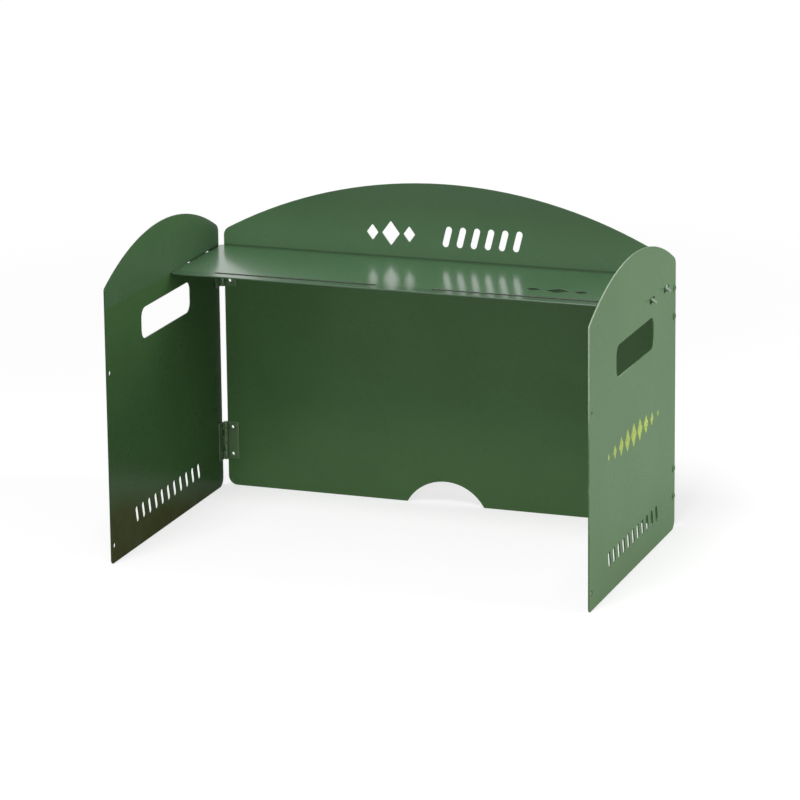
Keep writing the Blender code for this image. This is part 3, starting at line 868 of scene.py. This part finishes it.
class WINDSCREEN_OT_side_sheets(bpy.types.Operator):
    """Both side sheets, with hand holes, vents and tab slots"""
    bl_idname = "windscreen.side_sheets"
    bl_label = "Side sheets"

    def execute(self, context):
        for side, body, coat in (("left", LEFT, "left_coat"), ("right", RIGHT, "right_coat")):
            mesh = rounded_sheet(side + "_panel", Y, Z, context.scene.windscreen_sheets)
            add_piece(side + "_sheet", mesh, coat, body, "sheet_paint", side + "_panel")
        return {"FINISHED"}


class WINDSCREEN_OT_shelf(bpy.types.Operator):
    """Shelf with its tabs and front rail"""
    bl_idname = "windscreen.shelf"
    bl_label = "Shelf"

    def execute(self, context):
        mesh = rounded_sheet("shelf", X, Y, context.scene.windscreen_sheets)
        low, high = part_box("shelf")
        rim = 2 * MM

        # Painted shade on the slots' walls and the shelf's front edge
        def darkening(face):
            """Much in the slots, less along the front edge, none on the flats, the rear edge and the ends."""
            place = face.center
            if abs(face.normal.z) > 0.7 or place.y > high.y - rim or abs(place.x) > high.x - 4 * rim:
                return 0.0
            return 0.85 if place.y > low.y + rim else 0.4

        face_values(mesh, "slot_dirt", darkening)
        fold_tabs(mesh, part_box("right_panel")[1].x + CLEARANCE, high.x, high.z - low.z - sheet_thickness())
        add_piece("shelf_sheet", mesh, "shelf_coat", SCREEN, "sheet_paint", "shelf")
        return {"FINISHED"}


class WINDSCREEN_OT_leaves(bpy.types.Operator):
    """Rolled hinge leaves, each made finer than its solid and set on the same pin"""
    bl_idname = "windscreen.leaves"
    bl_label = "Hinge leaves"

    def execute(self, context):
        sizes = context.scene.windscreen_hinges
        for hinge in hinge_names():
            pin_low, pin_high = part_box(hinge + "_pin")
            axis = (pin_low + pin_high) / 2
            bore = (pin_high.x - pin_low.x) / 2 + CLEARANCE
            out = outwards(hinge)
            up = Z if out.x > 0 else -Z
            places = {
                "back": (place_matrix(-out, Y, -up, axis), SCREEN, range(0, sizes.knuckles, 2)),
                "side": (place_matrix(-Y, out, up, axis), side_body(hinge), range(1, sizes.knuckles, 2)),
            }
            for kind, (matrix, body, kept) in places.items():
                cad = hinge + "_" + kind + "_leaf"
                low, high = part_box(cad)
                inverse = matrix.inverted()
                corners = [inverse @ low, inverse @ high]
                reach = max(corner.x for corner in corners)
                outer = max(corner.y for corner in corners)
                rivets = []
                for end in ("low", "high"):
                    head_low, head_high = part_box(hinge + "_" + kind + "_rivet_" + end)
                    centre = inverse @ ((head_low + head_high) / 2)
                    rivets.append((centre.x, centre.z))
                mesh = leaf_form(sizes, reach, bore, outer - bore, high.z - low.z, rivets, kept)
                mesh.transform(matrix)
                add_piece(cad + "_rolled", mesh, "hinge_coat", body, "hinge_paint", cad)
        return {"FINISHED"}


class WINDSCREEN_OT_rivets(bpy.types.Operator):
    """Tubular rivets, copied onto their places, one mesh for each body"""
    bl_idname = "windscreen.rivets"
    bl_label = "Rivets"

    def execute(self, context):
        sizes = context.scene.windscreen_rivets
        tree, identifiers = copies_tree()
        form = hidden_object("rivet_form", lathe(rivet_profile(), sizes.steps))
        for body, kind, sides in ((SCREEN, "back", ("left", "right")), (LEFT, "side", ("left",)),
                                  (RIGHT, "side", ("right",))):
            names = [hinge + "_" + kind + "_rivet_" + end for hinge in hinge_names()
                     if hinge.startswith(sides) for end in ("low", "high")]
            places, directions = [], []
            for name in names:
                low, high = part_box(name)
                places.append((low + high) / 2)
                directions.append(Y if kind == "back" else outwards(name))
            mesh = grown(tree, identifiers, points_mesh(places, directions), Form=form, Turn=2 * pi,
                         Seed=sizes.seed, Finish=bpy.data.materials["rivet_coat"])
            add_piece(body + "_rivets", mesh, "rivet_coat", body, "hinge_paint", *names)
        drop(form)
        return {"FINISHED"}


class WINDSCREEN_OT_pins(bpy.types.Operator):
    """Hinge pins with peened ends"""
    bl_idname = "windscreen.pins"
    bl_label = "Pins"

    def execute(self, context):
        tree, identifiers = copies_tree()
        names = [hinge + "_pin" for hinge in hinge_names()]
        low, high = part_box(names[0])
        form = hidden_object("pin_form", lathe(pin_profile(low.z, high.z, (high.x - low.x) / 2), 32))
        places = [(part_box(name)[0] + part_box(name)[1]) / 2 for name in names]
        mesh = grown(tree, identifiers, points_mesh(places, [Z] * len(places)), Form=form, Turn=2 * pi,
                     Seed=3, Finish=bpy.data.materials["pin_wire"])
        add_piece("hinge_pins", mesh, "pin_wire", SCREEN, "pin_steel", *names)
        drop(form)
        return {"FINISHED"}


class WINDSCREEN_OT_side_print(bpy.types.Operator):
    """Plain printed row of diamonds on the right side sheet"""
    bl_idname = "windscreen.side_print"
    bl_label = "Print"

    def execute(self, context):
        sizes = context.scene.windscreen_print
        tree, identifiers = row_tree()
        tall, wide = sizes.height / 2, sizes.height * 0.36
        corners = ((wide, 0), (0, tall), (-wide, 0), (0, -tall))
        shell = bmesh.new()
        under, top = ([shell.verts.new((x, y, z)) for x, y in corners] for z in (0, INK_HEIGHT))
        shell.faces.new(under[::-1])
        shell.faces.new(top)
        for i in range(len(corners)):
            shell.faces.new((under[i - 1], under[i], top[i], top[i - 1]))
        form = hidden_object("diamond_form", settled(shell))
        row = grown(tree, identifiers, bpy.data.meshes.new("start"), Form=form, Count=sizes.count,
                    Pitch=sizes.pitch, Least=0.3, Finish=bpy.data.materials["print_ink"])
        drop(form)
        low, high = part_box("right_panel")
        row_length = sizes.pitch * (sizes.count - 1)
        start = Vector((high.x + INK_GAP, (low.y + high.y) / 2 - row_length / 2, sizes.level))
        row.transform(place_matrix(Y, Z, X, start))
        add_piece("side_print", row, "print_ink", RIGHT, "sheet_paint")
        return {"FINISHED"}


class WINDSCREEN_OT_stage(bpy.types.Operator):
    """Pale floor, soft light from all round, three large lamps and the camera"""
    bl_idname = "windscreen.stage"
    bl_label = "Stage"

    def execute(self, context):
        sizes = context.scene.windscreen_stage
        context.scene.view_settings.view_transform = "Standard"
        self.make_floor(sizes)
        self.make_world(sizes)
        self.make_lamps(sizes)
        self.make_camera(sizes)
        return {"FINISHED"}

    def seen(self, tree, mirrored):
        """One for what the camera sees, straight or through a hole; mirrored for what a reflection shows."""
        path = node(tree, "ShaderNodeLightPath").outputs
        glossy = maths(tree, "MULTIPLY", path["Is Glossy Ray"], mirrored)
        direct = maths(tree, "MAXIMUM", path["Is Camera Ray"], path["Is Transmission Ray"])
        return maths(tree, "MAXIMUM", direct, glossy)

    def make_floor(self, sizes):
        shell = bmesh.new()
        bmesh.ops.create_grid(shell, x_segments=1, y_segments=1, size=sizes.floor_size / 2)
        floor = new_object("floor", settled(shell))
        floor.location = (0, 0, -0.2 * MM)
        tree, shader, spot = blank_finish("floor_paper")
        for label, value in (("Base Color", (sizes.floor_tone,) * 3 + (1.0,)), ("Roughness", 1.0),
                             ("Specular IOR Level", 0.0), ("Emission Color", WHITE)):
            shader[label].default_value = value
        away = node(tree, "ShaderNodeVectorMath", {0: spot}, operation="LENGTH").outputs["Value"]
        glow = span(tree, away, 0.7, 2.6, sizes.floor_glow, 1.0 - 0.4 * sizes.floor_tone)
        feed(tree, shader["Emission Strength"], maths(tree, "MULTIPLY", self.seen(tree, 0.3), glow))
        lay_out(tree)
        floor.data.materials.append(bpy.data.materials["floor_paper"])

    def make_world(self, sizes):
        world = bpy.data.worlds.new("studio")
        bpy.context.scene.world = world
        world.use_nodes = True
        tree = world.node_tree
        level = node(tree, "ShaderNodeMapRange",
                     {"Value": self.seen(tree, 1.0), "To Min": sizes.sky, "To Max": 1.0})
        back = tree.nodes["Background"].inputs
        feed(tree, back["Color"], WHITE)
        feed(tree, back["Strength"], level.outputs["Result"])
        lay_out(tree)

    def make_lamps(self, sizes):
        for name, place, size, level in (("front_lamp", (0.1, -4.0, 0.6), 1.4, sizes.front_lamp),
                                         ("side_lamp", (2.1, 0.3, 0.55), 0.9, sizes.side_lamp),
                                         ("top_lamp", (-0.2, -1.6, 3.2), 1.6, sizes.top_lamp)):
            data = bpy.data.lights.new(name, "AREA")
            data.shape = "SQUARE"
            data.size = size
            data.energy = level * pi ** 2 * Vector(place).length_squared
            lamp = new_object(name, data)
            lamp.location = place
            lamp.rotation_euler = (Vector((0, 0, 0.15)) - Vector(place)).to_track_quat("-Z", "Y").to_euler()

    def make_camera(self, sizes):
        data = bpy.data.cameras.new("camera")
        data.sensor_width = SENSOR
        data.lens = LENS_PIXELS * SENSOR / PICTURE
        data.shift_x = (PICTURE / 2 - LENS_CENTRE[0]) / PICTURE
        data.shift_y = (LENS_CENTRE[1] - PICTURE / 2) / PICTURE
        data.clip_end = 100.0
        camera = new_object("camera", data)
        camera.matrix_world = place_matrix(*CAMERA_AXES, sizes.camera_place)
        bpy.context.scene.camera = camera


STEPS = (WINDSCREEN_OT_finishes, WINDSCREEN_OT_back_sheet, WINDSCREEN_OT_side_sheets, WINDSCREEN_OT_shelf,
         WINDSCREEN_OT_leaves, WINDSCREEN_OT_rivets, WINDSCREEN_OT_pins, WINDSCREEN_OT_side_print,
         WINDSCREEN_OT_stage)

SETTINGS = {"windscreen_sheets": SheetSettings, "windscreen_hinges": HingeSettings,
            "windscreen_rivets": RivetSettings, "windscreen_print": PrintSettings,
            "windscreen_paint": PaintSettings, "windscreen_stage": StageSettings}


class WINDSCREEN_PT_panel(bpy.types.Panel):
    """Lists the windscreen's steps"""
    bl_idname = "WINDSCREEN_PT_panel"
    bl_label = "Windscreen"
    bl_space_type = "VIEW_3D"
    bl_region_type = "UI"
    bl_category = "Windscreen"

    def draw(self, context):
        for step in STEPS:
            self.layout.operator(step.bl_idname)


def register():
    for kind in SETTINGS.values():
        bpy.utils.register_class(kind)
    for kind in STEPS + (WINDSCREEN_PT_panel,):
        bpy.utils.register_class(kind)
    for name, kind in SETTINGS.items():
        setattr(bpy.types.Scene, name, PointerProperty(type=kind))


def unregister():
    for name in SETTINGS:
        delattr(bpy.types.Scene, name)
    for kind in reversed(STEPS + (WINDSCREEN_PT_panel,)):
        bpy.utils.unregister_class(kind)
    for kind in reversed(list(SETTINGS.values())):
        bpy.utils.unregister_class(kind)


def main():
    register()
    for step in STEPS:
        group, call = step.bl_idname.split(".")
        getattr(getattr(bpy.ops, group), call)()


if __name__ == "__main__":
    main()
